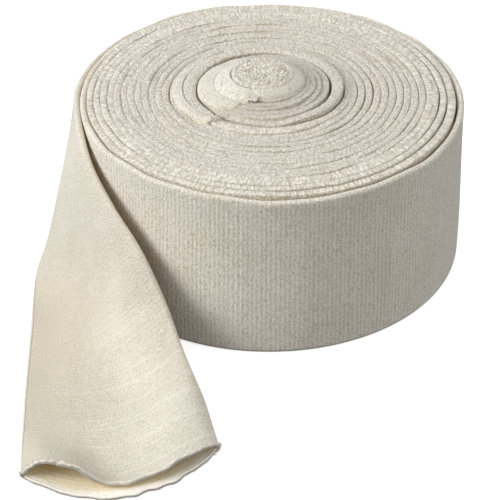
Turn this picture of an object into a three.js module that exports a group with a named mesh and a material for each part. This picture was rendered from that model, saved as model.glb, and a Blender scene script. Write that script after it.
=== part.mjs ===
// Elastic tubular bandage: a flattened knitted tube wound into a roll that stands on its flat end,
// with the outer end unwound, twisted down onto the surface and open at its mouth.
// Millimetres, +Z up, the roll's axis on Z and its foot on z = 0. The viewer is on the -Y side.
import * as THREE from "three";

const LAYER = 1.75; // one layer of the knit
const SHUT = 0.15; // half the space between two layers that lie shut
const FOLD = LAYER + SHUT; // half the flattened tube
const STEP_DEG = 151; // where the outermost turn ends and the loose end goes on
const COLUMNS = 84; // round the roll
const SHARED_RADIUS = 95; // inside this the turns are drawn as closed rings
const DEG = Math.PI / 180;

const CLOTH = { color: 0xe6decb, roughness: 0.95, metalness: 0 };

// Rings of the top from the middle out: the core stands proud and falls off as a cone to the first
// gap, then one fat turn, the second gap and the flat top.
const TOP_RINGS = [
  { radius: 7, height: 112.9, x: -3.4, y: -1.0 },
  { radius: 13, height: 113.4, x: -3.4, y: -1.0 },
  { radius: 16.4, height: 112.0, x: -3.4, y: -1.0 },
  { radius: 17.9, height: 109.4, x: -3.3, y: -0.9 },
  { radius: 20.0, height: 110.4, x: -3.1, y: -0.7 },
  { radius: 24.0, height: 108.9, x: -2.9, y: -0.5 },
  { radius: 29.5, height: 106.6, x: -2.7, y: -0.3 },
  { radius: 35.0, height: 104.4, x: -2.5, y: 0.0 },
  { radius: 37.5, height: 102.0, x: -2.4, y: 0.0 },
  { radius: 38.4, height: 98.8, x: -2.4, y: 0.0 },
  { radius: 39.4, height: 102.4, x: -2.2, y: 0.0 },
  { radius: 41.6, height: 103.7, x: -2.0, y: 0.0 },
  { radius: 43.6, height: 102.4, x: -1.8, y: 0.0 },
  { radius: 44.6, height: 99.2, x: -1.7, y: 0.0 },
  { radius: 46.2, height: 100.5, x: -1.5, y: 0.0 },
  { radius: 60, height: 100.4, x: -0.8, y: 0.0 },
  { radius: 78, height: 100.1, x: -0.3, y: 0.0 },
  { radius: SHARED_RADIUS, height: 99.8, x: 0, y: 0 },
];

// Once round the outermost turn from the step: its radius at the top, how far the wall spreads
// towards the foot, the two loosened gaps inside it and how deep they stand open.
const TURN_ROWS = [
  { at: 0, radius: 106.7, spread: 0, gap1: 103.6, gap2: 99.6, depth: 0 },
  { at: 0.04, radius: 106.8, spread: 0.5, gap1: 103.7, gap2: 99.7, depth: 0.3 },
  { at: 0.08, radius: 106.9, spread: 2.6, gap1: 103.8, gap2: 99.8, depth: 0.8 },
  { at: 0.13, radius: 107.3, spread: 4.4, gap1: 103.9, gap2: 99.9, depth: 1.0 },
  { at: 0.24, radius: 108.4, spread: 4.3, gap1: 104.2, gap2: 100.2, depth: 1.2 },
  { at: 0.33, radius: 109.5, spread: 3.5, gap1: 104.5, gap2: 100.4, depth: 1.6 },
  { at: 0.42, radius: 110.3, spread: 2.9, gap1: 104.9, gap2: 100.7, depth: 3.0 },
  { at: 0.58, radius: 111.0, spread: 2.4, gap1: 105.5, gap2: 101.1, depth: 4.5 },
  { at: 0.7, radius: 111.2, spread: 1.8, gap1: 106.0, gap2: 101.8, depth: 3.2 },
  { at: 0.83, radius: 111.0, spread: 1.0, gap1: 106.4, gap2: 102.6, depth: 1.2 },
  { at: 0.93, radius: 110.9, spread: 0.4, gap1: 106.7, gap2: 103.4, depth: 0.4 },
  { at: 1, radius: 110.9, spread: 0.1, gap1: 106.9, gap2: 103.8, depth: 0 },
];

// Wall rows from the shoulder down: share of the spread reached and height above the surface.
const WALL_ROWS = [
  { share: 0.0, height: 91 },
  { share: 0.15, height: 74 },
  { share: 0.4, height: 52 },
  { share: 0.72, height: 29 },
  { share: 0.95, height: 10 },
  { share: 1.0, height: 3.2 },
];

// Middle of the loose end's flattened tube along its length s. The low edge stays on the surface,
// the high edge leaves the top of the wall and comes down. belly bows the cloth outwards between
// the edges (a negative one lets it sag), dip lets its lower third sink towards the surface, and
// advance carries its middle on towards the mouth.
const LOOSE_ROWS = [
  { s: -55, lowX: -95.8, lowY: 52.6, highX: -95.8, highY: 52.6, highZ: 95.7, belly: 0, dip: 0, advance: 0 },
  { s: -42, lowX: -101.8, lowY: 41, highX: -101.4, highY: 40.9, highZ: 95.8, belly: 0.1, dip: 0, advance: 0 },
  { s: -28, lowX: -107.8, lowY: 27.9, highX: -105.8, highY: 27.6, highZ: 95.9, belly: 0.3, dip: 0, advance: 0 },
  { s: -14, lowX: -113.6, lowY: 15.3, highX: -108.5, highY: 13.8, highZ: 96, belly: 0.6, dip: 0, advance: 0 },
  { s: 0, lowX: -119.2, lowY: 3.4, highX: -109.5, highY: -0.2, highZ: 96, belly: 0.9, dip: 0, advance: 0 },
  { s: 30, lowX: -130.2, lowY: -20, highX: -105.7, highY: -30, highZ: 95.2, belly: 1, dip: 0.5, advance: 0 },
  { s: 60, lowX: -132.6, lowY: -44, highX: -97.4, highY: -58.6, highZ: 86, belly: 1.5, dip: 7, advance: 1 },
  { s: 90, lowX: -131.8, lowY: -70, highX: -84.2, highY: -80.8, highZ: 73, belly: 1, dip: 14, advance: 3 },
  { s: 120, lowX: -130, lowY: -97, highX: -68.8, highY: -98.8, highZ: 57, belly: -1, dip: 13.5, advance: 5 },
  { s: 150, lowX: -128.4, lowY: -125, highX: -56.2, highY: -113.8, highZ: 35, belly: -3.5, dip: 7, advance: 8 },
  { s: 180, lowX: -126.8, lowY: -153, highX: -45.2, highY: -133.2, highZ: 14, belly: -2.5, dip: 1, advance: 12 },
  { s: 210, lowX: -124.6, lowY: -181, highX: -34.6, highY: -157.5, highZ: 4.6, belly: 0, dip: 0, advance: 15 },
  { s: 232, lowX: -122.6, lowY: -201, highX: -28.8, highY: -178.5, highZ: 2.4, belly: 0, dip: 0, advance: 18 },
  { s: 247, lowX: -121.1, lowY: -213.5, highX: -25.3, highY: -193, highZ: FOLD, belly: 0, dip: 0, advance: 18 },
];

// The mouth from the low edge (v = 0) to the high edge (v = 1): how far the upper layer stands off
// the lower one in the hump and in the longer swell beside the high edge, and how far the lower
// lip reaches beyond the upper.
const MOUTH_ROWS = [
  { v: 0, hump: 0, swell: 0, reach: 0 },
  { v: 0.04, hump: 5.5, swell: 0, reach: 1.2 },
  { v: 0.085, hump: 10.6, swell: 0, reach: 2.5 },
  { v: 0.13, hump: 12.8, swell: 0, reach: 3.4 },
  { v: 0.19, hump: 13.2, swell: 0, reach: 4.4 },
  { v: 0.25, hump: 11.8, swell: 0, reach: 5.0 },
  { v: 0.31, hump: 7.2, swell: 0, reach: 5.6 },
  { v: 0.37, hump: 2.2, swell: 0, reach: 6.0 },
  { v: 0.43, hump: 0.3, swell: 0, reach: 6.2 },
  { v: 0.55, hump: 0, swell: 0.8, reach: 5.8 },
  { v: 0.66, hump: 0, swell: 2.8, reach: 5.0 },
  { v: 0.72, hump: 0, swell: 4.3, reach: 4.5 },
  { v: 0.79, hump: 0, swell: 5.6, reach: 3.8 },
  { v: 0.86, hump: 0, swell: 5.3, reach: 3.0 },
  { v: 0.93, hump: 0, swell: 3.2, reach: 1.7 },
  { v: 1, hump: 0, swell: 0, reach: 0 },
];

const MOUTH_S = LOOSE_ROWS[LOOSE_ROWS.length - 1].s;
const START_S = LOOSE_ROWS[0].s;
const HOLLOW_S = 168; // further in than this the two layers are drawn as one thickness
const HUMP_S = 203; // the mouth's hump starts to rise here
const SWELL_S = 165; // the swell beside the high edge starts to rise here
const SETTLE = 5; // how gently the cloth comes to rest on the surface
const STATIONS = 38;
const ACROSS = 17;

function hermite(rows, key, column, x) {
  const last = rows.length - 1;
  let i = 0;
  while (i < last - 1 && x > rows[i + 1][key]) i += 1;
  const slope = (k) => {
    const a = rows[Math.max(k - 1, 0)];
    const b = rows[Math.min(k + 1, last)];
    return (b[column] - a[column]) / (b[key] - a[key]);
  };
  const span = rows[i + 1][key] - rows[i][key];
  const t = Math.min(Math.max((x - rows[i][key]) / span, 0), 1);
  const t2 = t * t;
  const t3 = t2 * t;
  return (
    (2 * t3 - 3 * t2 + 1) * rows[i][column] +
    (t3 - 2 * t2 + t) * span * slope(i) +
    (-2 * t3 + 3 * t2) * rows[i + 1][column] +
    (t3 - t2) * span * slope(i + 1)
  );
}

function ramp(from, to, x) {
  const t = Math.min(Math.max((x - from) / (to - from), 0), 1);
  return t * t * (3 - 2 * t);
}

// Collects points and outward-facing triangles for one closed body.
class Shell {
  constructor() {
    this.points = [];
    this.faces = [];
  }

  add(x, y, z) {
    this.points.push(x, y, z);
    return this.points.length / 3 - 1;
  }

  triangle(a, b, c) {
    if (a !== b && b !== c && c !== a) this.faces.push(a, b, c);
  }

  quad(a, b, c, d) {
    this.triangle(a, b, c);
    this.triangle(a, c, d);
  }

  mesh(name) {
    const geometry = new THREE.BufferGeometry();
    geometry.setAttribute("position", new THREE.Float32BufferAttribute(this.points, 3));
    geometry.setIndex(this.faces);
    geometry.computeVertexNormals();
    const mesh = new THREE.Mesh(geometry, new THREE.MeshStandardMaterial(CLOTH));
    mesh.name = name;
    return mesh;
  }
}

// Low waves of the hand-wound top and wall, the same at both ends of a full turn.
function unevenness(angle, size) {
  return size * (Math.sin(2 * angle + 0.6) + 0.6 * Math.sin(5 * angle + 2.1) + 0.4 * Math.sin(9 * angle));
}

// The closed rings of the top at one angle.
function ringPoints(angle) {
  return TOP_RINGS.map((ring, i) => {
    const radius = ring.radius + unevenness(angle + 0.5 * i, 0.18);
    const height = ring.height + unevenness(angle + 0.9 * i, i < 3 ? 0.3 : 0.22);
    return [ring.x + radius * Math.cos(angle), ring.y + radius * Math.sin(angle), height];
  });
}

// The outermost turn at one angle: the two gaps, the soft shoulder, the wall and the foot.
function turnPoints(at, angle) {
  const get = (column) => hermite(TURN_ROWS, "at", column, at);
  const wall = get("radius");
  const spread = get("spread");
  const depth = Math.max(get("depth"), 0);
  const gap1 = get("gap1");
  const gap2 = get("gap2");
  const sunk = 0.9 * (1 - ramp(0, 0.12, at));
  const top = 99.6 - sunk;
  const ridge = 98.6 - sunk;
  const wave = unevenness(angle, 0.15);
  const section = [
    [gap2 - 1.6, top],
    [gap2 - 0.5, top - 0.15 - 0.2 * depth],
    [gap2, top - 0.3 - depth],
    [gap2 + 0.6, top - 0.35 - 0.15 * depth],
    [gap1 - 0.9, top - 0.5 - 0.1 * depth],
    [gap1, ridge - 0.4 - 0.8 * depth],
    [gap1 + 0.7, ridge - 0.1],
    [wall - 1.9, ridge - 0.9],
    [wall - 0.6, ridge - 3.0],
    ...WALL_ROWS.map((row) => [wall + spread * row.share + wave, row.height]),
    [wall + spread - 0.8 + wave, 0.9],
    [wall + spread - 2.6 + wave, 0.6 * (1 - ramp(0, 0.05, at))],
  ];
  return section.map(([radius, height]) => [radius * Math.cos(angle), radius * Math.sin(angle), height]);
}

function woundRoll() {
  const shell = new Shell();
  const angleOf = (j) => (STEP_DEG + (360 * j) / COLUMNS) * DEG;
  const closed = [];
  const open = [];
  const foot = [];
  for (let j = 0; j <= COLUMNS; j += 1) {
    const angle = angleOf(j);
    if (j < COLUMNS) {
      closed.push(ringPoints(angle).map((p) => shell.add(...p)));
      foot.push(shell.add(90 * Math.cos(angle), 90 * Math.sin(angle), 0));
    }
    open.push(turnPoints(j / COLUMNS, angle).map((p) => shell.add(...p)));
  }
  const crown = shell.add(TOP_RINGS[0].x, TOP_RINGS[0].y, 112.6);
  const base = shell.add(0, 0, 0);
  const chain = (j) => [...closed[j % COLUMNS], ...open[j], foot[j % COLUMNS]];
  for (let j = 0; j < COLUMNS; j += 1) {
    const a = chain(j);
    const b = chain(j + 1);
    shell.triangle(crown, a[0], b[0]);
    for (let i = 0; i + 1 < a.length; i += 1) shell.quad(a[i], a[i + 1], b[i + 1], b[i]);
    shell.triangle(a[a.length - 1], base, b[b.length - 1]);
  }
  addStep(shell, chain(0), chain(COLUMNS));
  return shell.mesh("wound_roll");
}

// The face where the outermost turn ends, between the two ends of its section.
function addStep(shell, first, last) {
  for (let i = 0; i + 1 < first.length; i += 1) {
    shell.quad(last[i], last[i + 1], first[i + 1], first[i]);
  }
}

function looseFrame(s) {
  const get = (column, x) => hermite(LOOSE_ROWS, "s", column, x);
  const lowAt = (x) => new THREE.Vector3(get("lowX", x), get("lowY", x), FOLD);
  const highAt = (x) => new THREE.Vector3(get("highX", x), get("highY", x), get("highZ", x));
  const low = lowAt(s);
  const high = highAt(s);
  const back = Math.max(s - 1, START_S);
  const on = Math.min(s + 1, MOUTH_S);
  const lowWay = lowAt(on).sub(lowAt(back));
  const highWay = highAt(on).sub(highAt(back));
  const [belly, dip, advance] = ["belly", "dip", "advance"].map((column) => get(column, s));
  return { low, high, lowWay, highWay, belly, dip, advance };
}

// Middle of the cloth at length s and share v across, forward beyond its own edge.
function middle(s, v, forward) {
  const f = looseFrame(s);
  const chord = f.high.clone().sub(f.low);
  const way = f.lowWay.clone().multiplyScalar(1 - v).addScaledVector(f.highWay, v).normalize();
  const out = way.clone().cross(chord).normalize();
  const arch = 4 * v * (1 - v);
  const lowArch = 6.75 * v * (1 - v) * (1 - v);
  const wave = 0.3 * Math.sin(s / 13 + 4 * v) * Math.sin(Math.PI * v) * ramp(20, 80, s);
  const p = f.low
    .clone()
    .addScaledVector(chord, v)
    .addScaledVector(out, f.belly * arch - f.dip * lowArch + wave)
    .addScaledVector(way, f.advance * arch + forward);
  const soft = SETTLE * ramp(0, 0.25, v) * (ramp(50, 110, s) - ramp(150, 205, s));
  const above = p.z - FOLD;
  p.z = FOLD + (above + Math.hypot(above, soft)) / 2;
  return p;
}

function upperLayer(s, v) {
  const hump = Math.max(hermite(MOUTH_ROWS, "v", "hump", v), 0) * Math.pow(ramp(HUMP_S, MOUTH_S + 4, s), 1.2);
  const swell = Math.max(hermite(MOUTH_ROWS, "v", "swell", v), 0) * ramp(SWELL_S, 212, s);
  const p = middle(s, v, 0);
  p.z += hump + swell;
  return p;
}

function lowerLayer(s, v) {
  const reach = hermite(MOUTH_ROWS, "v", "reach", v);
  return middle(s, v, reach * ramp(190, MOUTH_S, s));
}

// Unit normal of a layer, out of the tube's upper side, and its direction across.
function layerFrame(layer, s, v) {
  const along = layer(Math.min(s + 1, MOUTH_S), v).sub(layer(Math.max(s - 1, START_S), v));
  const across = layer(s, Math.min(v + 0.015, 1)).sub(layer(s, Math.max(v - 0.015, 0)));
  const normal = along.clone().cross(across).normalize();
  return { normal, across: across.normalize() };
}

function rim(centre, direction, size) {
  return centre.clone().addScaledVector(direction.clone().normalize(), size);
}

// One closed loop round the tube at length s, size away from the middle of each layer.
function loopPoints(s, size) {
  const upper = [];
  const lower = [];
  for (let k = 0; k < ACROSS; k += 1) {
    const t = k / (ACROSS - 1);
    const v = t - 0.055 * Math.sin(2 * Math.PI * t);
    const up = layerFrame(upperLayer, s, v);
    const down = layerFrame(lowerLayer, s, v);
    upper.push(rim(upperLayer(s, v), up.normal, size));
    lower.push(rim(lowerLayer(s, v), down.normal.clone().negate(), size));
  }
  const edge = (v, sign) => {
    const up = layerFrame(upperLayer, s, v);
    const down = layerFrame(lowerLayer, s, v);
    const outward = up.across.clone().add(down.across).multiplyScalar(sign).normalize();
    const centre = lowerLayer(s, v);
    return [
      rim(centre, outward.clone().add(up.normal), size),
      rim(centre, outward, size),
      rim(centre, outward.clone().sub(down.normal), size),
    ];
  };
  const high = edge(1, 1);
  const low = edge(0, -1).reverse();
  const loop = [...upper, ...high, ...lower.reverse(), ...low];
  return loop.map((p) => [p.x, p.y, Math.max(p.z, size > LAYER ? 0 : LAYER * 0.9)]);
}

function looseEnd() {
  const shell = new Shell();
  const outer = [];
  const inner = [];
  for (let k = 0; k < STATIONS; k += 1) {
    const s = START_S + ((MOUTH_S - START_S) * k) / (STATIONS - 1);
    outer.push(loopPoints(s, FOLD).map((p) => shell.add(...p)));
    if (s >= HOLLOW_S) {
      inner.push(loopPoints(s, SHUT + 0.25 * ramp(HOLLOW_S, MOUTH_S, s)).map((p) => shell.add(...p)));
    }
  }
  const count = outer[0].length;
  const join = (a, b, turned) => {
    for (let i = 0; i < count; i += 1) {
      const k = (i + 1) % count;
      if (turned) shell.quad(a[i], b[i], b[k], a[k]);
      else shell.quad(a[i], a[k], b[k], b[i]);
    }
  };
  for (let k = 0; k + 1 < outer.length; k += 1) join(outer[k], outer[k + 1], true);
  for (let k = 0; k + 1 < inner.length; k += 1) join(inner[k], inner[k + 1], false);
  join(outer[outer.length - 1], inner[inner.length - 1], true);
  closeFlat(shell, outer[0], false);
  closeFlat(shell, inner[0], true);
  return shell.mesh("loose_end");
}

// Closes a flattened loop with rungs from its upper to its lower side, from one fold to the other.
function closeFlat(shell, loop, turned) {
  const tip = ACROSS + 1;
  const last = loop.length - 1;
  for (let m = 0; m < ACROSS + 3; m += 1) {
    const up = (k) => loop[(tip - k + loop.length) % loop.length];
    const down = (k) => loop[Math.min(tip + k, last)];
    const corners = [up(m + 1), up(m), down(m), down(m + 1)];
    if (turned) corners.reverse();
    shell.quad(...corners);
  }
}

const bandage = new THREE.Group();
bandage.name = "elastic_tubular_bandage";
bandage.add(woundRoll(), looseEnd());

export default bandage;
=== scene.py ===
"""Elastic tubular bandage: a flattened knitted tube wound into a roll, its loose end drawn out and open.

Sizes are in millimetres until a mesh is made. The roll's axis is Z, its foot is on z = 0 and the
viewer is on the -Y side. Turns are counted inwards from where the outermost one leaves the wall.
"""

import math

import bpy
import numpy as np
from mathutils import Matrix, Vector


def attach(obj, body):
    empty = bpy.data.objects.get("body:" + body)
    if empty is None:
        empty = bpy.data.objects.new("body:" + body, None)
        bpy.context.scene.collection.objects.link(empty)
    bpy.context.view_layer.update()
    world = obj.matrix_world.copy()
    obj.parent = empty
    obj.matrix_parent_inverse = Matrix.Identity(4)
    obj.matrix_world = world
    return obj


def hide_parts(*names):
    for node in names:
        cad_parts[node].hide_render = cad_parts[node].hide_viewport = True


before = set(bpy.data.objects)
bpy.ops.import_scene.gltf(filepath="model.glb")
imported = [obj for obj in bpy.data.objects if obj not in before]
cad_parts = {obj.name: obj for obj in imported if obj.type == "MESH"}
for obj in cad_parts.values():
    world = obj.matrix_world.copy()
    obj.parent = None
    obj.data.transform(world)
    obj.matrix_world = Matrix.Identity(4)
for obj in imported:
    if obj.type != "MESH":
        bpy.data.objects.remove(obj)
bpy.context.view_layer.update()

MM = 0.001  # a millimetre in metres
LAYER = 1.75  # thickness of one layer of the tube
SHUT = 0.15  # from the tube's middle to either layer, where they lie closed
FOLD = LAYER + SHUT  # from the tube's middle to its outside
STEP_DEG = 151.0  # where the outermost turn leaves the wall, in degrees round from +X

# Camera, fitted to the photograph: place in metres, turn and tilt in degrees, lens on a 36 mm sensor.
CAMERA_PLACE = (0.0, -0.836881, 0.595556)
CAMERA_YAW = -0.7304
CAMERA_PITCH = 35.981
CAMERA_LENS = 122.54


def ramp(a, b, x):
    """A smooth step from 0 where x is a to 1 where it is b."""
    t = np.clip((np.asarray(x, float) - a) / (b - a), 0, 1)
    return t * t * (3 - 2 * t)


def hermite(rows, x):
    """Smooth interpolation of a table, its first column the key; one value or row of values per x."""
    rows = np.asarray(rows, float)
    xs, ys = rows[:, 0], rows[:, 1:]
    slopes = np.empty_like(ys)
    slopes[1:-1] = (ys[2:] - ys[:-2]) / (xs[2:] - xs[:-2])[:, None]
    slopes[0] = (ys[1] - ys[0]) / (xs[1] - xs[0])
    slopes[-1] = (ys[-1] - ys[-2]) / (xs[-1] - xs[-2])
    x = np.clip(np.asarray(x, float), xs[0], xs[-1])
    i = np.clip(np.searchsorted(xs, x, side="right") - 1, 0, len(xs) - 2)
    span = (xs[i + 1] - xs[i])[..., None]
    t = ((x - xs[i]) / span[..., 0])[..., None]
    return (
        (2 * t**3 - 3 * t**2 + 1) * ys[i]
        + (t**3 - 2 * t**2 + t) * span * slopes[i]
        + (-2 * t**3 + 3 * t**2) * ys[i + 1]
        + (t**3 - t**2) * span * slopes[i + 1]
    )


def wander(seed, longest, shortest, count=14):
    """A smooth random curve of a length in mm, its waves between two lengths and its spread about 1."""
    rng = np.random.default_rng(seed)
    waves = longest * (shortest / longest) ** rng.random(count)
    phases = rng.random(count) * 2 * math.pi
    sizes = rng.uniform(0.4, 1, count)
    sizes *= 1.4 / math.sqrt((sizes**2).sum())  # 1.4 is the peak of a single wave whose spread is 1
    return lambda s: sum(
        a * np.sin(2 * math.pi * np.asarray(s, float) / w + p) for a, w, p in zip(sizes, waves, phases)
    )


RIB_GAP = 0.00245  # metres from one laid-in elastic thread to the next
RELIEF = 0.0006  # metres that a height of 1 stands out in the cloth's relief
# The deepest colour is that of the knit's furrows and of the painted shade beside the loose end's low fold.
FURROW_AND_SHADE = (0.77, 0.75, 0.69)  # the deepest colour as shares of the tint
CREST = (1, 1.005, 1.06)  # the lightest colour's hue as shares of the tint
CREST_LIGHT = 1.17  # how much lighter than the tint it is, where no part of it passes white


def knit_material(name, tint, ribs, grain, speckle, fine=1.0, painted_light=0.0):
    """Cream knit. The map's first axis runs along the tube and its second round it, in metres.

    ribs and grain scale the relief of the ribs and of the stitches, speckle the stitches' colour,
    fine the number of stitches in a metre, and lift raises the colour towards its lightest, as painted
    light.
    Along the tube the map is 0 where the loose end leaves the wall, and less than 0 on the roll.
    """
    mat = bpy.data.materials.new(name)
    mat.use_nodes = True
    nodes, links = mat.node_tree.nodes, mat.node_tree.links
    shader = nodes["Principled BSDF"]
    shader.inputs["Roughness"].default_value = 0.95
    shader.inputs["Specular IOR Level"].default_value = 0.15
    shader.inputs["Sheen Weight"].default_value = 0.2
    shader.inputs["Sheen Roughness"].default_value = 0.6
    uv = nodes.new("ShaderNodeUVMap")
    uv.uv_map = "knit"
    axes = nodes.new("ShaderNodeSeparateXYZ")
    links.new(uv.outputs["UV"], axes.inputs["Vector"])
    along, across = axes.outputs["X"], axes.outputs["Y"]

    def scaled(cells_along, cells_across):
        """The map in cells instead of metres, so many to a metre."""
        m = nodes.new("ShaderNodeMapping")
        m.inputs["Scale"].default_value = (cells_along, cells_across, 1)
        links.new(uv.outputs["UV"], m.inputs["Vector"])
        return m.outputs["Vector"]

    def noise(vector, detail, rough=0.5):
        n = nodes.new("ShaderNodeTexNoise")
        n.inputs["Scale"].default_value = 1.0
        n.inputs["Detail"].default_value = detail
        n.inputs["Roughness"].default_value = rough
        links.new(vector, n.inputs["Vector"])
        return n.outputs["Fac"]

    def math_node(kind, a, b=None):
        n = nodes.new("ShaderNodeMath")
        n.operation = kind
        for socket, value in zip(n.inputs, (a, b)):
            if value is None:
                continue
            if isinstance(value, (int, float)):
                socket.default_value = value
            else:
                links.new(value, socket)
        return n.outputs[0]

    def total(*terms):
        """Sum of (value, factor) pairs."""
        made = None
        for value, factor in terms:
            scaled_value = math_node("MULTIPLY", value, factor)
            made = scaled_value if made is None else math_node("ADD", made, scaled_value)
        return made

    def between(value, start, end, low=0.0, high=1.0, kind="LINEAR"):
        """low where the value is up to start and high from end on."""
        n = nodes.new("ShaderNodeMapRange")
        n.interpolation_type = kind
        for label, limit in (("From Min", start), ("From Max", end), ("To Min", low), ("To Max", high)):
            n.inputs[label].default_value = limit
        links.new(value, n.inputs["Value"])
        return n.outputs["Result"]

    # Ribs: the laid-in elastic threads, not quite evenly apart. They show most on the wall, where the
    # cloth is stretched round the roll, and fade on the loose end.
    phase = total((along, 1 / RIB_GAP), (noise(scaled(60, 4), 2.0), 0.7))
    wave = math_node("SINE", math_node("MULTIPLY", phase, 2 * math.pi))
    streak = noise(scaled(900, 12), 2.0, 0.6)
    taut = between(along, -0.09, 0.03, 1.0, 0.3)
    rib = math_node("MULTIPLY", total((wave, 0.35), (streak, 1.0)), taut)
    # Stitches: small cells, roughened.
    cells = nodes.new("ShaderNodeTexVoronoi")
    cells.inputs["Scale"].default_value = 1.0
    links.new(scaled(1150 * fine, 1000 * fine), cells.inputs["Vector"])
    grit = noise(scaled(2300 * fine, 1900 * fine), 2.0, 0.7)
    stitch = total((cells.outputs["Distance"], -1.0), (grit, 1.0))
    # Towards the mouth the slack cloth shows single pale threads across it.
    weft = between(noise(scaled(520, 7), 1.0), 0.55, 0.66, kind="SMOOTHSTEP")
    slack = between(along, 0.10, 0.19)
    thread = math_node("MULTIPLY", weft, slack)
    bump = nodes.new("ShaderNodeBump")
    bump.inputs["Strength"].default_value = 1.0
    bump.inputs["Distance"].default_value = RELIEF
    links.new(total((rib, ribs), (stitch, grain), (thread, 0.15)), bump.inputs["Height"])
    links.new(bump.outputs["Normal"], shader.inputs["Normal"])

    # Colour: cream, lighter on the ribs, speckled by the stitches and softly mottled.
    mottle = noise(scaled(40, 40), 3.0)
    contrast = math_node("ADD", math_node("MULTIPLY", taut, 0.9), 0.5)
    spots = math_node("MULTIPLY", stitch, contrast)
    level = total((rib, 1.5 * ribs), (spots, speckle), (mottle, 0.4), (thread, 0.16), (taut, -0.10))
    # Painted light: the colour is raised as a whole towards its lightest.
    level = math_node("ADD", level, 0.25 + painted_light)
    # Painted shade: the loose end is painted darker beside its low fold.
    painted_fold_shade = between(across, 0.010, 0.062, -0.38, 0.03)
    loose = between(along, 0.02, 0.11)
    level = math_node("ADD", level, math_node("MULTIPLY", painted_fold_shade, loose))
    colours = nodes.new("ShaderNodeValToRGB")
    low, high = colours.color_ramp.elements
    low.position, high.position = 0.15, 1.0
    low.color = (*(part * share for part, share in zip(tint, FURROW_AND_SHADE)), 1)
    light = min(CREST_LIGHT, 1 / max(tint))
    high.color = (*(part * light * share for part, share in zip(tint, CREST)), 1)
    links.new(level, colours.inputs["Fac"])
    links.new(colours.outputs["Color"], shader.inputs["Base Color"])
    return mat


# Meshes


def make_piece(name, points, faces, uvs, material):
    """A smooth mesh object from points in mm, faces and one place on the knit's map per point, in mm."""
    mesh = bpy.data.meshes.new(name)
    mesh.from_pydata((np.asarray(points) * MM).tolist(), [], faces)
    layer = mesh.uv_layers.new(name="knit")
    loops = np.empty(len(mesh.loops), dtype=np.int32)
    mesh.loops.foreach_get("vertex_index", loops)
    layer.data.foreach_set("uv", (np.asarray(uvs, float) * MM)[loops].ravel())
    mesh.materials.append(material)
    mesh.validate()
    mesh.polygons.foreach_set("use_smooth", [True] * len(mesh.polygons))
    mesh.update()
    obj = bpy.data.objects.new(name, mesh)
    bpy.context.scene.collection.objects.link(obj)
    return obj


def tube_faces(rows, count, first=0, turned=False):
    """Quads between rows of points that each close round, count points a row."""
    faces = []
    for r in range(rows - 1):
        a = first + r * count
        b = a + count
        for i in range(count):
            k = (i + 1) % count
            quad = (a + i, b + i, b + k, a + k)
            faces.append(quad[::-1] if turned else quad)
    return faces


# The wound turns

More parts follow.
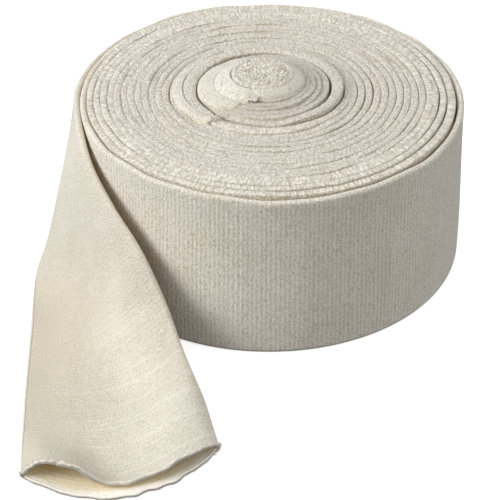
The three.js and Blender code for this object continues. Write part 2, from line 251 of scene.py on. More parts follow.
# turns inwards, mean radius of the tube's middle, centre x and y, height of its top edge,
# half its thickness, how much lower its top is on the left
TURNS = [
    (0.00, 109.3, 0, 0, 97.9, 1.85, 0),
    (0.17, 109.2, 0, 0, 97.7, 1.85, 0),
    (0.42, 109.1, 0, 0, 97.9, 1.90, 0),
    (0.67, 107.7, 0, 0, 98.2, 1.90, 0),
    (0.92, 105.4, 0, 0, 98.6, 1.85, 0),
    (1.17, 104.2, 0, 0, 98.9, 1.95, 0),
    (1.42, 103.8, 0, 0, 99.0, 2.45, 0),
    (1.67, 102.7, 0, 0, 99.1, 2.15, 0),
    (1.92, 101.5, 0, 0, 99.2, 1.85, 0),
    (2.17, 100.3, 0, 0, 99.4, 1.95, 0),
    (2.42, 98.8, 0, 0, 99.8, 1.95, 0),
    (2.67, 98.5, 0, 0, 99.8, 2.00, 0),
    (2.92, 97.7, 0, 0, 99.6, 1.85, 0),
    (3.17, 96.3, 0, 0, 99.7, 1.95, 0),
    (3.42, 94.6, -0.1, 0, 99.9, 2.00, 0),
    (3.67, 94.4, -0.1, 0, 100.0, 2.00, 0),
    (4.00, 93.4, -0.2, 0, 100.0, 2.06, 0),
    (6.00, 85.3, -0.5, 0, 100.1, 2.10, 0),
    (9.00, 73.1, -1.0, 0, 100.2, 2.10, 0),
    (12.0, 60.7, -1.5, 0, 100.2, 2.10, 0),
    (12.58, 57.9, -1.6, 0, 100.2, 2.00, 0),
    (13.17, 56.2, -1.7, 0, 100.2, 1.98, 0.1),
    (13.58, 53.5, -1.8, 0, 100.3, 2.00, 0.2),
    (14.17, 52.3, -1.9, 0, 100.3, 1.95, 0.6),
    (14.58, 49.3, -1.9, 0, 100.4, 2.25, 0.8),
    (15.17, 48.1, -1.9, 0, 100.6, 1.85, 1.0),
    (15.39, 47.2, -1.9, 0, 100.8, 1.90, 0.6),
    (15.50, 45.8, -1.9, 0, 100.8, 2.20, 0.4),
    (15.58, 44.6, -1.9, 0, 100.8, 2.75, 0.2),
    (15.67, 43.8, -1.9, 0, 100.9, 3.35, 0),
    (15.76, 43.5, -1.9, 0, 101.0, 3.45, 0),
    (15.81, 43.2, -2.0, 0, 102.3, 3.50, 0),
    (15.92, 43.1, -2.0, 0, 102.8, 3.80, 0),
    (16.17, 42.4, -2.0, 0, 103.5, 3.85, 0),
    (16.39, 41.6, -2.0, 0, 103.4, 3.75, 0),
    (16.50, 40.1, -2.1, 0, 103.4, 2.75, 0),
    (16.58, 38.0, -2.2, 0, 102.5, 2.60, 0),
    (16.66, 37.2, -2.2, 0, 101.4, 2.90, 0),
    (16.75, 36.0, -2.3, 0, 101.7, 2.50, 0.2),
    (16.92, 35.0, -2.4, 0, 103.1, 1.60, 1.0),
    (17.30, 35.2, -2.5, 0, 103.6, 2.20, 1.2),
    (17.50, 34.4, -2.5, 0, 103.8, 2.05, 1.4),
    (17.90, 32.4, -2.6, 0, 104.4, 1.80, 1.8),
    (18.42, 31.1, -2.6, -0.2, 104.9, 1.75, 2.2),
    (19.42, 27.9, -2.8, -0.4, 106.0, 1.65, 2.2),
    (20.42, 25.0, -3.0, -0.6, 106.9, 1.55, 2.0),
    (21.42, 22.3, -3.1, -0.7, 107.7, 1.50, 1.6),
    (21.62, 21.9, -3.1, -0.7, 107.8, 1.45, 1.5),
    (21.70, 19.6, -3.1, -0.7, 107.8, 1.40, 1.4),
    (21.90, 19.6, -3.1, -0.7, 108.0, 1.40, 1.4),
]

WOUND_FROM, WOUND_TO = 0.98, TURNS[-1][0]

# once round the outermost turn: turns inwards and how far the wall spreads at the foot
SPREAD = [
    (0.00, 0.1),
    (0.07, 0.4),
    (0.17, 1.0),
    (0.30, 1.8),
    (0.42, 2.4),
    (0.58, 2.9),
    (0.67, 3.5),
    (0.76, 4.3),
    (0.87, 4.4),
    (0.92, 2.6),
    (0.96, 0.5),
    (1.10, 0.0),
]


def turn_angle(n):
    """Angle round from +X at each turn number, in radians."""
    return np.radians(STEP_DEG - 360.0 * np.asarray(n, float))


def turn_lengths(n):
    """Length along the tube at each turn number, from the first one given inwards, in mm."""
    row = hermite(TURNS, n)
    steps = np.diff(n) * 2 * math.pi * (row[1:, 0] + row[:-1, 0]) / 2
    return np.concatenate([[0], np.cumsum(steps)])


# turn numbers close together and their lengths, to read either from the other
FINE_TURNS = np.linspace(WOUND_FROM, WOUND_TO, 16000)
FINE_LENGTHS = turn_lengths(FINE_TURNS)

TURN_STEP = 0.95  # mm along the tube from one section to the next
FOOT_SIDE = 2.6  # height where a turn's plain sides end
FOOT_SOLE = 0.5  # height of a turn's underside
# from the side of a turn up to its top: share of half its thickness, how far under its top
FOLD_SIDE = ((1, 2.4), (0.99, 1.2), (0.93, 0.62), (0.76, 0.26))
FAT_FROM = (15.70, 15.84)  # turn numbers over which the fat turn starts, and over which it ends
FAT_TO = (16.42, 16.56)


def turn_section(half, top, deep):
    """One turn's section as (outwards, height) pairs: the soft fold on top, plain sides, the foot."""
    side = [(share * half, top - under * deep) for share, under in FOLD_SIDE]
    side.append((0.42 * half, top - 0.06))
    inner_side = [(-out, height) for out, height in side]
    foot = [(half, FOOT_SIDE), (0.55 * half, FOOT_SOLE), (-0.55 * half, FOOT_SOLE)]
    return [(-half, FOOT_SIDE), *inner_side, (0, top), *reversed(side), *foot]


# where the parts of the roll are put on the knit's map, in mm along the tube
TURNS_MAP = -100.0
BARE_MAP = -400.0
DISC_MAP = -150.0
INSIDE_MAP = 300.0  # where the inside of the loose end is put, in mm round the tube


def lengths_of(places):
    """Length from the first of a row of places to each one."""
    return np.concatenate([[0], np.cumsum(np.linalg.norm(np.diff(places, axis=0), axis=1))])


def wound_length(name, start, end, material):
    """The turns from start to end, counted inwards, as one closed body; neighbours join on evenly."""
    first, last = np.interp((start, end), FINE_TURNS, FINE_LENGTHS)
    s = np.linspace(first, last, int((last - first) / TURN_STEP) + 1)
    n = np.interp(s, FINE_LENGTHS, FINE_TURNS)
    radius, middle_x, middle_y, top, half, lower_left = hermite(TURNS, n).T
    angle = turn_angle(n)
    sway = wander(11, 260, 30)(s)
    rise = wander(12, 300, 22)(s)
    knots = wander(13, 5.2, 1.7, 18)(s)
    crimp = wander(14, 14, 4.0)(s)
    slack = np.maximum(wander(15, 420, 40)(s) - 0.4, 0)
    radius = radius + 0.10 * sway
    top = top + (0.13 + 0.17 * ramp(0.2, 4.0, n)) * rise + 0.05 * crimp + 0.12 * knots
    top = top - lower_left * (0.5 - 0.5 * np.cos(angle))
    half = half - 0.09 * slack + 0.02 * knots
    # the tube's two ends are thinner, over 6 mm
    ends = np.minimum(ramp(0, 6, s), ramp(0, 6, FINE_LENGTHS[-1] - s))
    half = half * (0.35 + 0.65 * ends)
    # the fold on top reaches further down at the roll's sides than at its front and back, furthest
    # down on the fat turn and less far inside it
    deep = 0.45 + 0.2 * np.abs(np.cos(angle)) ** 0.7
    fat = ramp(*FAT_FROM, n) - ramp(*FAT_TO, n)
    deep = deep + (1.0 - deep) * fat - 0.2 * ramp(16.5, 16.9, n)
    section = np.array([turn_section(*values) for values in zip(half, top, deep)])
    out = section[:, :, 0] + radius[:, None]
    points = np.empty(section.shape[:2] + (3,))
    points[..., 0] = middle_x[:, None] + out * np.cos(angle)[:, None]
    points[..., 1] = middle_y[:, None] + out * np.sin(angle)[:, None]
    points[..., 2] = section[:, :, 1]
    uvs = np.empty(section.shape[:2] + (2,))
    uvs[..., 0] = TURNS_MAP - s[:, None]
    uvs[..., 1] = lengths_of(section[0])[None, :]
    per = section.shape[1]
    faces = tube_faces(len(n), per)
    faces.append(tuple(range(per)))
    faces.append(tuple(range(len(n) * per - 1, (len(n) - 1) * per - 1, -1)))
    return make_piece(name, points.reshape(-1, 3), faces, uvs.reshape(-1, 2), material), float(s[-1] - s[0])


# Bare sloping faces at the core: degrees round from +X, inner radius and height, outer radius and
# height, all about the core's own middle.
COLLAR = [
    (249, 17.2, 111.0, 24.4, 107.0),
    (225, 17.6, 111.2, 27.4, 106.0),
    (200, 18.2, 111.0, 28.6, 105.7),
    (180, 18.8, 110.6, 29.0, 105.6),
    (160, 19.4, 110.2, 28.6, 105.7),
    (135, 19.2, 110.4, 27.8, 106.0),
    (115, 18.4, 110.9, 26.6, 106.4),
    (90, 17.2, 111.4, 25.4, 106.9),
    (45, 16.8, 111.4, 23.6, 107.8),
    (0, 16.4, 111.5, 22.8, 108.2),
    (-45, 16.2, 111.4, 21.8, 108.3),
    (-90, 15.8, 111.3, 20.8, 108.2),
    (-100, 16.2, 111.3, 20.6, 108.2),
    (-116, 16.4, 111.2, 23.4, 107.2),
]
INNER_FACE = [
    (240, 25.4, 105.9, 28.6, 104.6),
    (222, 26.4, 106.3, 34.8, 103.2),
    (200, 27.4, 106.1, 37.4, 102.6),
    (180, 27.8, 106.0, 38.0, 102.5),
    (150, 27.2, 106.1, 37.6, 102.6),
    (120, 25.8, 106.3, 34.8, 103.4),
    (95, 24.4, 106.4, 30.0, 104.6),
    (80, 23.8, 106.2, 27.0, 105.0),
]
OUTER_FACE = [
    (229, 42.4, 102.6, 47.4, 101.6),
    (215, 44.2, 102.3, 49.4, 101.5),
    (200, 45.4, 102.1, 51.2, 101.3),
    (180, 46.2, 102.0, 52.2, 101.2),
    (160, 46.4, 101.9, 51.6, 101.1),
    (140, 46.6, 101.6, 50.2, 100.9),
    (122, 46.8, 101.0, 48.4, 100.6),
]
CORE_MIDDLE = (-2.6, -0.6)
BAND_STEP = 0.8  # mm from one section of a bare face to the next
BAND_SKIRT = 7  # how far its sides reach down into the turns
BAND_POINTS = 9  # points across its top

# the tube's folded start in the middle of the roll
DISC = (18.0, 17.4)  # half length and half width
DISC_MIDDLE = (-3.4, 0.6)
DISC_TOP = 112.2
DISC_SIDE = 108.6  # height of its outline under the rounded rim
DISC_FOOT = 104.0
DISC_GROOVES = ((0.80, 0.045, 0.45), (0.42, 0.05, 0.25))  # share of the radius, share of width, depth


def band(name, rows, middle, material, seed):
    """A bare sloping face of one turn, with soft edges, tucked in at both ends."""
    table = np.array(sorted(rows), float)
    mean = (table[:, 1] + table[:, 3]).mean() / 2
    first, last = table[0, 0], table[-1, 0]
    turn = np.linspace(first, last, int(math.radians(last - first) * mean / BAND_STEP))
    inner, z_in, outer, z_out = hermite(table, turn).T
    s = np.radians(turn) * mean
    angle = np.radians(turn)
    rise = 0.16 * wander(seed, 60, 12)(s)
    knots = 0.05 * wander(seed + 1, 5, 1.8)(s)
    z_in, z_out = z_in + rise, z_out + rise
    width = outer - inner
    slope = z_out - z_in
    section = [(inner, z_in - BAND_SKIRT), (inner, z_in - 1.3), (inner + 0.25, z_in - 0.5)]
    for k in range(BAND_POINTS):
        f = 0.08 + 0.84 * k / (BAND_POINTS - 1)
        crown = 0.32 * math.sin(math.pi * f) + 0.05 * math.cos(5 * k)
        section.append((inner + width * f, z_in + slope * f + crown + knots))
    section += [(outer - 0.1, z_out - 0.55), (outer + 0.1, z_out - 1.4), (outer + 0.1, z_out - BAND_SKIRT)]
    points = np.empty((len(turn), len(section), 3))
    for k, (radius, height) in enumerate(section):
        points[:, k, 0] = middle[0] + radius * np.cos(angle)
        points[:, k, 1] = middle[1] + radius * np.sin(angle)
        points[:, k, 2] = height
    tuck = np.minimum(ramp(0, 2.0, s - s[0]), ramp(0, 0.8, s[-1] - s))
    points[:, :, 2] -= (0.7 * (1 - tuck))[:, None]
    across = lengths_of(points[len(s) // 2])
    uvs = np.stack(np.broadcast_arrays(BARE_MAP + s[:, None], across[None]), 2)
    per = len(section)
    # the section runs outwards on top, and rows run counter-clockwise
    faces = tube_faces(len(turn), per, turned=True)
    faces.append(tuple(range(per - 1, -1, -1)))
    faces.append(tuple(range((len(turn) - 1) * per, len(turn) * per)))
    return make_piece(name, points.reshape(-1, 3), faces, uvs.reshape(-1, 2), material)


def core_disc(material):
    """The tube's folded start in the middle of the roll: an oval, bumpy, almost flat."""
    rings, sides = 34, 150
    middle_x, middle_y = DISC_MIDDLE
    turns = [2 * math.pi * j / sides for j in range(sides)]
    bumps = [wander(90 + k, 9, 2.4, 10) for k in range(4)]
    points, uvs = [], []
    for r in range(1, rings + 1):
        f = r / rings
        groove = sum(depth * math.exp(-(((f - at) / wide) ** 2)) for at, wide, depth in DISC_GROOVES)
        plain = DISC_TOP - 0.4 * f**4 - 1.5 * float(ramp(0.92, 1.04, f)) - groove
        bumpy = 0.30 * (1 - float(ramp(0.9, 1.0, f)))
        for a in turns:
            out = f + 0.012 * math.sin(5 * a + 1)
            x, y = DISC[0] * out * math.cos(a), DISC[1] * out * math.sin(a)
            bump = bumps[0](x + 0.6 * y) * bumps[1](y - 0.5 * x)
            bump += 0.6 * bumps[2](x - 0.9 * y) * bumps[3](y + 0.7 * x)
            points.append((middle_x + x, middle_y + y, plain + bumpy * float(bump)))
            uvs.append((x + DISC_MAP, y))
    for z in (DISC_SIDE, DISC_FOOT):
        for a in turns:
            points.append((middle_x + DISC[0] * math.cos(a), middle_y + DISC[1] * math.sin(a), z))
            uvs.append((DISC[0] * a + BARE_MAP, z))
    centre = len(points)
    foot = centre + 1
    points += [(middle_x, middle_y, DISC_TOP + 0.1), (middle_x, middle_y, DISC_FOOT)]
    uvs += [(DISC_MAP, 0)] * 2
    faces = tube_faces(rings + 2, sides)
    last = (rings + 1) * sides
    for j in range(sides):
        k = (j + 1) % sides
        faces.append((centre, j, k))
        faces.append((foot, last + k, last + j))
    return make_piece("core_disc", points, faces, uvs, material)


# The outermost turn and the loose end

# along the loose end: length from where it leaves the wall, low edge x y, high edge x y z,
# belly, dip of the lower third, how far its middle is ahead of its edges
LOOSE = [
    (-55, -95.8, 52.6, -95.8, 52.6, 95.7, 0, 0, 0),
    (-42, -101.8, 41, -101.4, 40.9, 95.8, 0.1, 0, 0),
    (-28, -107.8, 27.9, -105.8, 27.6, 95.9, 0.3, 0, 0),
    (-14, -113.6, 15.3, -108.5, 13.8, 96, 0.6, 0, 0),
    (0, -119.2, 3.4, -109.5, -0.2, 96, 0.9, 0, 0),
    (30, -130.2, -20, -105.7, -30, 95.2, 1, 0.5, 0),
    (60, -132.6, -44, -97.4, -58.6, 86, 1.5, 7, 1),
    (90, -131.8, -70, -84.2, -80.8, 73, 1, 14, 3),
    (120, -130, -97, -68.8, -98.8, 57, -1, 13.5, 5),
    (150, -128.4, -125, -56.2, -113.8, 35, -3.5, 7, 8),
    (180, -126.8, -153, -45.2, -133.2, 14, -2.5, 1, 12),
    (210, -124.6, -181, -34.6, -157.5, 4.6, 0, 0, 15),
    (232, -122.6, -201, -28.8, -178.5, 2.4, 0, 0, 18),
    (247, -121.1, -213.5, -25.3, -193, FOLD, 0, 0, 18),
]

# the mouth across from the low edge: lift of the upper lip in the hump and in the swell beside the
# high edge, and reach of the lower lip
MOUTH = [
    (0, 0, 0, 0),
    (0.04, 5.5, 0, 1.2),
    (0.085, 10.6, 0, 2.5),
    (0.13, 12.8, 0, 3.4),
    (0.19, 13.2, 0, 4.4),
    (0.25, 11.8, 0, 5.0),
    (0.31, 7.2, 0, 5.6),
    (0.37, 2.2, 0, 6.0),
    (0.43, 0.3, 0, 6.2),
    (0.55, 0, 0.8, 5.8),
    (0.66, 0, 2.8, 5.0),
    (0.72, 0, 4.3, 4.5),
    (0.79, 0, 5.6, 3.8),
    (0.86, 0, 5.8, 3.0),
    (0.93, 0, 4.6, 1.7),
    (0.97, 0, 2.8, 0.8),
    (1, 0, 0, 0),
]

START_S, MOUTH_S = LOOSE[0][0], LOOSE[-1][0]
HOLLOW_S = 150.0  # where the two layers start to be apart
HUMP_S = 203.0  # where the upper layer starts to rise into the hump
SWELL_S = 165.0  # and into the swell
SETTLE = 5.0  # how gently the cloth comes to rest on the surface
ACROSS = 49  # points across a layer
WALL_TURNS = 1.06  # turns of the wall that are made with the loose end
WALL_COLUMNS = 480
LIP = 3.2  # length of the cut lip
INSIDE_FLOOR = 1.4  # lowest height of the hollow's inside
NEAR_MOUTH_S = 228.0  # where the columns get closer together
END_STEP = 1.5  # from one column of the loose end to the next
MOUTH_STEP = 0.95  # and near the mouth


def loose_middle(s, v, forward):
    """Points of the loose end's middle for columns s and rows v, forward beyond its own edge."""
    row = hermite(LOOSE, s)
    ahead = hermite(LOOSE, s + 1.0) - hermite(LOOSE, s - 1.0)
    low = np.stack([row[:, 0], row[:, 1], np.full(len(s), FOLD)], 1)
    high = row[:, 2:5]
    low_way = np.stack([ahead[:, 0], ahead[:, 1], np.zeros(len(s))], 1)
    v = v[None, :, None]
    way = low_way[:, None] * (1 - v) + ahead[:, None, 2:5] * v
    way /= np.linalg.norm(way, axis=2, keepdims=True)
    chord = (high - low)[:, None]
    out = np.cross(way, np.broadcast_to(chord, way.shape))
    out /= np.linalg.norm(out, axis=2, keepdims=True)
    # two arches with a height of 1, the second highest a third of the way up
    arch = 4 * v * (1 - v)
    low_arch = 27 / 4 * v * (1 - v) ** 2
    belly, dip, advance = (row[:, k][:, None, None] for k in (5, 6, 7))
    wave = 0.3 * np.sin(s[:, None, None] / 13 + 4 * v) * np.sin(math.pi * v) * ramp(20, 80, s)[:, None, None]
    points = low[:, None] + chord * v + out * (belly * arch - dip * low_arch + wave)
    points = points + way * (advance * arch + forward[..., None])
    # nothing sinks below where the cloth lies on the surface; away from the low fold it settles softly
    soft = SETTLE * ramp(0, 0.25, v[0, :, 0])[None] * (ramp(50, 110, s) - ramp(150, 205, s))[:, None]
    above = points[..., 2] - FOLD
    points[..., 2] = FOLD + (above + np.hypot(above, soft)) / 2
    return points


def wall_middle(n, v):
    """Points of the outermost turn's middle on the wall, for turn numbers n and rows v."""
    row = hermite(TURNS, n)
    angle = turn_angle(n)
    spread = hermite(SPREAD, n)[:, 0]
    share = 1 - ramp(0.05, 1.0, v)
    height = FOLD + v[None, :] * (row[:, 3] - FOLD - 2.0)[:, None]
    arc = turn_lengths(n)
    dent = 0.25 * wander(71, 180, 30)(arc)[:, None] * np.sin(math.pi * v)[None, :]
    radius = row[:, 0][:, None] + spread[:, None] * share[None, :] + dent
    rise = 0.35 * wander(72, 200, 30)(arc)[:, None] * v[None, :]
    return np.stack([radius * np.cos(angle)[:, None], radius * np.sin(angle)[:, None], height + rise], 2)


def grid_normals(points):
    """At each point of a layer, the way out of it and the way across it."""
    along = np.gradient(points, axis=0)
    across = np.gradient(points, axis=1)
    normal = np.cross(along, across)
    normal /= np.linalg.norm(normal, axis=2, keepdims=True)
    return normal, across / np.linalg.norm(across, axis=2, keepdims=True)


def loops_round(upper, lower, size):
    """Closed loops round the tube, size (one per column) away from the middle of each layer."""
    up_n, up_a = grid_normals(upper)
    down_n, down_a = grid_normals(lower)
    size = size[:, None, None]
    top = upper + up_n * size
    base = lower - down_n * size

    def fold(k, sign):
        """The half circle round the fold at row k."""
        out = (up_a[:, k] + down_a[:, k]) * sign
        out /= np.linalg.norm(out, axis=1, keepdims=True)
        middle = (upper[:, k] + lower[:, k]) / 2
        places = []
        for degrees in np.arange(22.5, 180, 22.5):
            side = up_n[:, k] if degrees <= 90 else down_n[:, k]
            way = out * math.sin(math.radians(degrees)) + side * math.cos(math.radians(degrees))
            places.append(middle + way / np.linalg.norm(way, axis=1, keepdims=True) * size[:, 0])
        return np.stack(places, 1)

    return np.concatenate([top, fold(-1, 1), base[:, ::-1], fold(0, -1)[:, ::-1]], axis=1)


def end_wall(first, per, turned):
    """Strips across the loop of per points that starts at first, to close the tube there."""
    faces = []
    tip = ACROSS + 3  # the middle point of the fold at the high edge
    for m in range(per // 2 - 1):
        corners = (tip - m - 1, tip - m, tip + m, tip + m + 1)
        strip = tuple(dict.fromkeys(first + corner % per for corner in corners))
        if len(strip) > 2:
            faces.append(strip[::-1] if turned else strip)
    return faces


def loose_end(material, rim, inside_knit):
    """The outermost turn and the loose end: one tube, open and hollow at its mouth."""
    # rows lie closer together at the two folds
    v = np.linspace(0, 1, ACROSS)
    v = v - 0.055 * np.sin(2 * math.pi * v)
    n = np.linspace(WALL_TURNS, 0, WALL_COLUMNS)[:-1]
    s_wall = START_S - turn_lengths(np.linspace(0, WALL_TURNS, WALL_COLUMNS))[::-1][:-1]
    s_end = np.arange(START_S, NEAR_MOUTH_S, END_STEP)
    s_end = np.concatenate([s_end, np.arange(NEAR_MOUTH_S, MOUTH_S + 0.01, MOUTH_STEP)])
    hump, swell, lower_lip = np.maximum(hermite(MOUTH, v), 0).T
    wobble = 0.55 * wander(31, 60, 9)(v * 100)
    wobble_low = 0.55 * wander(32, 60, 9)(v * 100)
    near = ramp(236, MOUTH_S, s_end)[:, None]
    upper = loose_middle(s_end, v, wobble[None] * near)
    upper[..., 2] += hump[None] * (ramp(HUMP_S, MOUTH_S + 4, s_end) ** 1.2)[:, None]
    upper[..., 2] += swell[None] * ramp(SWELL_S, 212, s_end)[:, None]
    reach = lower_lip[None] * ramp(190, MOUTH_S, s_end)[:, None] + wobble_low[None] * near
    lower = loose_middle(s_end, v, reach)
    wall = wall_middle(n, v)
    upper = np.concatenate([wall, upper])
    lower = np.concatenate([wall, lower])
    s = np.concatenate([s_wall, s_end])

    # the lip swells, is drawn in at its very end and ravels up and down
    lip = np.clip((s - (MOUTH_S - LIP)) / LIP, 0, 1)
    outer = loops_round(upper, lower, FOLD + 0.9 * np.sin(0.62 * math.pi * lip) - 0.5 * ramp(0.8, 1, lip))
    ravelled = 0.3 * wander(33, 6, 2)(2.0 * np.arange(outer.shape[1]))
    outer[..., 2] += ravelled[None] * ramp(0.3, 1, lip)[:, None]
    outer[..., 2] = np.maximum(outer[..., 2], 0)
    gap = SHUT + 0.25 * ramp(HOLLOW_S, MOUTH_S, s) - 0.3 * ramp(0.2, 0.8, lip) + 0.5 * ramp(0.8, 1, lip)
    inside = s >= HOLLOW_S
    inner = loops_round(upper, lower, gap)[inside]
    inner[..., 2] = np.maximum(inner[..., 2], INSIDE_FLOOR)

    rows, per = outer.shape[:2]
    inner_rows = len(inner)
    across = lengths_of(outer[0])
    points = np.concatenate([outer.reshape(-1, 3), inner.reshape(-1, 3)])
    uv_out = np.stack(np.broadcast_arrays(s[:, None], across[None]), 2)
    uv_in = np.stack(np.broadcast_arrays(s[inside][:, None], across[None] + INSIDE_MAP), 2)
    uvs = np.concatenate([uv_out.reshape(-1, 2), uv_in.reshape(-1, 2)])
    first = rows * per
    faces = tube_faces(rows, per)
    faces += tube_faces(inner_rows, per, first, turned=True)
    a, b = (rows - 1) * per, first + (inner_rows - 1) * per
    faces += [(a + i, b + i, b + (i + 1) % per, a + (i + 1) % per) for i in range(per)]
    faces += end_wall(0, per, False) + end_wall(first, per, True)
    tail = make_piece("loose_end_knit", points, faces, uvs, material)

    # the rim is the last rows outside, the last ones inside and the faces that join them; it takes the rim
    # material, painted much lighter as a painted highlight on the lip, and the rest of the inside takes the
    # inside material, painted lighter as painted light in the hollow
    tail.data.materials.append(rim)
    tail.data.materials.append(inside_knit)
    outer_faces = (rows - 1) * per
    all_sides = outer_faces + (inner_rows - 1) * per
    kind = np.zeros(len(tail.data.polygons), dtype=np.int32)
    kind[outer_faces - 2 * per : outer_faces] = 1
    kind[outer_faces:all_sides] = 2
    kind[all_sides - 5 * per : all_sides + per] = 1
    tail.data.polygons.foreach_set("material_index", kind)
    return tail, float(s[-1] - s[0]), outer


# Loose fibres


def strand_faces(first, count, sides):
    """Faces of a closed thread of count rings, its points numbered from first."""
    faces = [(a, d, c, b) for a, b, c, d in tube_faces(count, sides, first)]
    last = first + sides * (count - 1)
    faces.append(tuple(range(first + sides - 1, first - 1, -1)))
    faces.append(tuple(range(last, last + sides)))
    return faces


def fibres(name, roots, ways, material, seed, length, thick, bend):
    """Short bent threads from each root along each way."""
    rng = np.random.default_rng(seed)
    rings, sides = 5, 3
    points, faces, uvs = [], [], []
    for root, way in zip(roots, ways):
        size = length * rng.uniform(0.45, 1.25)
        side = np.cross(way, rng.normal(size=3))
        side /= np.linalg.norm(side) + 1e-9
        turn = np.cross(way, side)
        curl = rng.uniform(-bend, bend)
        faces += strand_faces(len(points), rings, sides)
        for t in np.linspace(0, 1, rings):
            middle = root + way * size * t + side * curl * size * t * t
            # no fibre is lower than its own thickness
            middle[2] = max(middle[2], 2 * thick)
            radius = thick * (1 - 0.55 * t)
            for j in range(sides):
                a = 2 * math.pi * j / sides
                points.append(middle + radius * (math.cos(a) * side + math.sin(a) * turn))
                uvs.append((root[0] + j, t * size))
    return make_piece(name, points, faces, uvs, material)


CURL = 2.6  # how far a curled thread turns, in radians
CURL_THICK = 0.5  # half its thickness at its root


def tuft(name, place, way, size, count, material, seed):
    """Curled thread standing out of a frayed end or of the core: count curls in an oval patch."""
    rng = np.random.default_rng(seed)
    place, way = np.asarray(place, float), np.asarray(way, float)
    way /= np.linalg.norm(way)
    side = np.cross(way, [0, 0, 1.0])
    rings, sides = 7, 4
    points, faces, uvs = [], [], []
    for _ in range(count):
        far, round_it = math.sqrt(rng.random()) / 2, rng.random() * 2 * math.pi
        root = place + side * far * size[1] * math.sin(round_it) + way * far * size[0] * math.cos(round_it)
        root[2] += rng.uniform(-0.3, 0.4)
        heading = way * rng.uniform(-0.9, 1) + side * rng.uniform(-0.9, 0.9)
        heading = heading + np.array([0, 0, rng.uniform(0.1, 0.7)])
        heading /= np.linalg.norm(heading)
        curl = np.cross(heading, rng.normal(size=3))
        curl /= np.linalg.norm(curl)
        binormal = np.cross(heading, curl)
        length = rng.uniform(1.6, 3.6)
        faces += strand_faces(len(points), rings, sides)
        for t in np.linspace(0, 1, rings):
            bend = CURL * t
            middle = root + length / CURL * (heading * math.sin(bend) + curl * (1 - math.cos(bend)))
            middle[2] = max(middle[2], place[2] - 1.0)
            radius = CURL_THICK * (1 - 0.3 * t)
            for j in range(sides):
                a = 2 * math.pi * j / sides
                points.append(middle + (curl * math.cos(a) + binormal * math.sin(a)) * radius)
                uvs.append((root[0] + j, t * length))
    return make_piece(name, points, faces, uvs, material)


# Building


def build():
    """All the pieces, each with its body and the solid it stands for."""
    knit = knit_material("knit_roll", (0.84, 0.71, 0.495), ribs=0.32, grain=0.7, speckle=0.9)
    # The turns' tops and the bare faces are painted a little lighter than the wall: painted light that
    # offsets the shade in their small furrows.
    edge = knit_material(
        "knit_edges", (0.865, 0.735, 0.52), ribs=0.05, grain=1.4, speckle=1.4, fine=0.75, painted_light=0.09
    )
    face = knit_material("knit_faces", (0.83, 0.71, 0.505), ribs=0.10, grain=0.7, speckle=1.0, painted_light=0.08)
    # The loose threads are painted much lighter than the knit: painted light on curls that shade one
    # another.
    threads = knit_material("knit_threads", (0.95, 0.83, 0.61), ribs=0, grain=0.2, speckle=0.2, painted_light=0.40)
    # The inside of the mouth is painted lighter and yellower than the outside: painted warm light in the
    # hollow.
    inside_knit = knit_material(
        "knit_inside_painted_light", (0.96, 0.80, 0.47), ribs=0.1, grain=0.5, speckle=0.6, painted_light=0.35
    )
    # The lip's rim is painted much lighter than the knit: a painted highlight along the lip.
    rim_knit = knit_material(
        "knit_rim_painted_highlight", (0.98, 0.84, 0.58), ribs=0, grain=0.5, speckle=0.9, fine=0.7, painted_light=0.6
    )
    wound, lengths = [], []
    for name, start, end in (
        ("turns_outer", WOUND_FROM, 5.4),
        ("turns_middle", 5.4, 10.6),
        ("turns_inner", 10.6, 15.8),
        ("turns_core", 15.8, WOUND_TO),
    ):
        piece, length = wound_length(name, start, end, edge)
        wound.append(piece)
        lengths.append(length)
    tail, tail_length, outer = loose_end(knit, rim_knit, inside_knit)
    # the lip's fibres point out of the mouth from its last row, and upwards too from the two before
    ahead = outer[-1] - outer[-4]
    ahead /= np.linalg.norm(ahead, axis=1, keepdims=True)
    raised = ahead + [0, 0, 0.8]
    raised /= np.linalg.norm(raised, axis=1, keepdims=True)
    roots, ways = [], []
    for row, way in ((-1, ahead), (-2, raised), (-3, raised)):
        for share in (0, 0.25, 0.5, 0.75):
            roots.append(outer[row] * (1 - share) + np.roll(outer[row], -1, axis=0) * share - 0.4 * way)
            ways.append(way)
    fringe = fibres("lip_threads", np.concatenate(roots), np.concatenate(ways), threads, 5, 1.5, 0.2, 1.1)
    core = [
        core_disc(edge),
        band("core_collar", COLLAR, CORE_MIDDLE, face, 51),
        band("core_face", INNER_FACE, CORE_MIDDLE, face, 53),
        band("ring_face", OUTER_FACE, CORE_MIDDLE, face, 55),
        tuft("tuft_outer", (-30.8, -33.5, 102.2), (0.73, -0.68, 0), (6.5, 5.0), 26, threads, 7),
        tuft("tuft_inner", (-8.6, -21.4, 107.3), (0.95, -0.3, 0), (7.0, 2.2), 20, threads, 8),
        tuft("core_threads", (-3.4, 0.6, 111.7), (1, 0, 0), (27.0, 26.0), 90, threads, 9),
    ]
    for piece in wound + core:
        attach(piece, "root")
        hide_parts("wound_roll")
    for piece in (tail, fringe):
        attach(piece, "root")
        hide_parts("loose_end")


# Camera, light and floor


CAMERA_SENSOR = 36.0
FLOOR_HALF = 6.0  # half the floor's width in metres
FLOOR_DROP = 0.0002  # how far it is under the foot of the roll
COOL = (0.87, 0.965, 1.19)
SURROUND = (0.87, 0.965, 1.16)


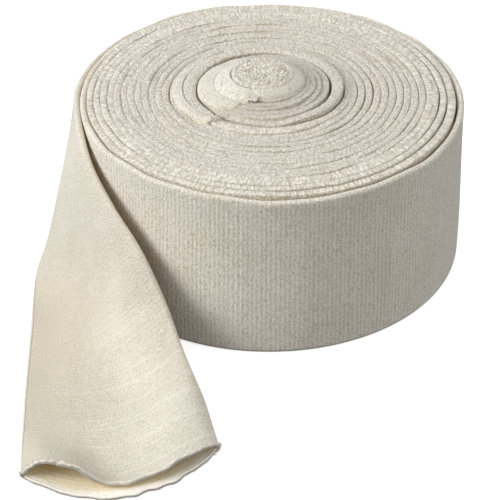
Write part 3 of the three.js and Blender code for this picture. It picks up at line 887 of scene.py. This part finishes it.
def stage():
    """The camera, the floor, three lamps and the surround."""
    yaw, pitch = math.radians(CAMERA_YAW), math.radians(CAMERA_PITCH)
    look = Vector((math.sin(yaw) * math.cos(pitch), math.cos(yaw) * math.cos(pitch), -math.sin(pitch)))
    right = Vector((math.cos(yaw), -math.sin(yaw), 0))
    up = right.cross(look)
    camera = bpy.data.objects.new("camera", bpy.data.cameras.new("camera"))
    bpy.context.scene.collection.objects.link(camera)
    turn = Matrix((right, up, -look)).transposed().to_4x4()
    camera.matrix_world = Matrix.Translation(Vector(CAMERA_PLACE)) @ turn
    camera.data.sensor_width = CAMERA_SENSOR
    camera.data.lens = CAMERA_LENS
    camera.data.clip_start, camera.data.clip_end = 0.01, 100
    bpy.context.scene.camera = camera

    floor_mesh = bpy.data.meshes.new("floor")
    w = FLOOR_HALF
    floor_mesh.from_pydata([(-w, -w, 0), (w, -w, 0), (w, w, 0), (-w, w, 0)], [], [(0, 1, 2, 3)])
    floor = bpy.data.objects.new("floor", floor_mesh)
    bpy.context.scene.collection.objects.link(floor)
    floor.location.z = -FLOOR_DROP
    mat = bpy.data.materials.new("floor")
    mat.use_nodes = True
    shader = mat.node_tree.nodes["Principled BSDF"]
    shader.inputs["Base Color"].default_value = (0.72, 0.66, 0.58, 1)
    shader.inputs["Roughness"].default_value = 0.9
    shader.inputs["Specular IOR Level"].default_value = 0.0
    shader.inputs["Emission Color"].default_value = (1, 1, 1, 1)
    shader.inputs["Emission Strength"].default_value = 0.72
    floor_mesh.materials.append(mat)
    floor.visible_diffuse = False

    def lamp(name, place, aim, power, size):
        """A round lamp at a place, aimed at another, its power in watts."""
        light = bpy.data.lights.new(name, "AREA")
        light.shape = "DISK"
        light.energy, light.size, light.color = power, size, COOL
        obj = bpy.data.objects.new(name, light)
        bpy.context.scene.collection.objects.link(obj)
        obj.location = place
        obj.rotation_mode = "QUATERNION"
        obj.rotation_quaternion = (Vector(aim) - Vector(place)).to_track_quat("-Z", "Y")

    lamp("key", (-1.68, -0.5, 0.98), (0, 0, 0.05), power=38, size=1.2)
    lamp("top", (0.2, 0.15, 1.7), (0, 0, 0), power=9, size=1.2)
    lamp("side", (1.3, -0.9, 0.5), (0, 0, 0.05), power=6, size=0.8)
    world = bpy.data.worlds.new("world")
    world.use_nodes = True
    nodes, links = world.node_tree.nodes, world.node_tree.links
    sky = nodes["Background"]
    sky.inputs["Color"].default_value = (*SURROUND, 1)
    # The surround is dimmer below the horizon, as the surface shades itself round the object.
    place = nodes.new("ShaderNodeTexCoord")
    parts = nodes.new("ShaderNodeSeparateXYZ")
    level = nodes.new("ShaderNodeMapRange")
    level.inputs["From Min"].default_value, level.inputs["From Max"].default_value = -0.3, 0.3
    level.inputs["To Min"].default_value, level.inputs["To Max"].default_value = 0.15, 0.44
    links.new(place.outputs["Generated"], parts.inputs["Vector"])
    links.new(parts.outputs["Z"], level.inputs["Value"])
    links.new(level.outputs["Result"], sky.inputs["Strength"])
    bpy.context.scene.world = world
    bpy.context.scene.view_settings.view_transform = "Standard"


build()
stage()
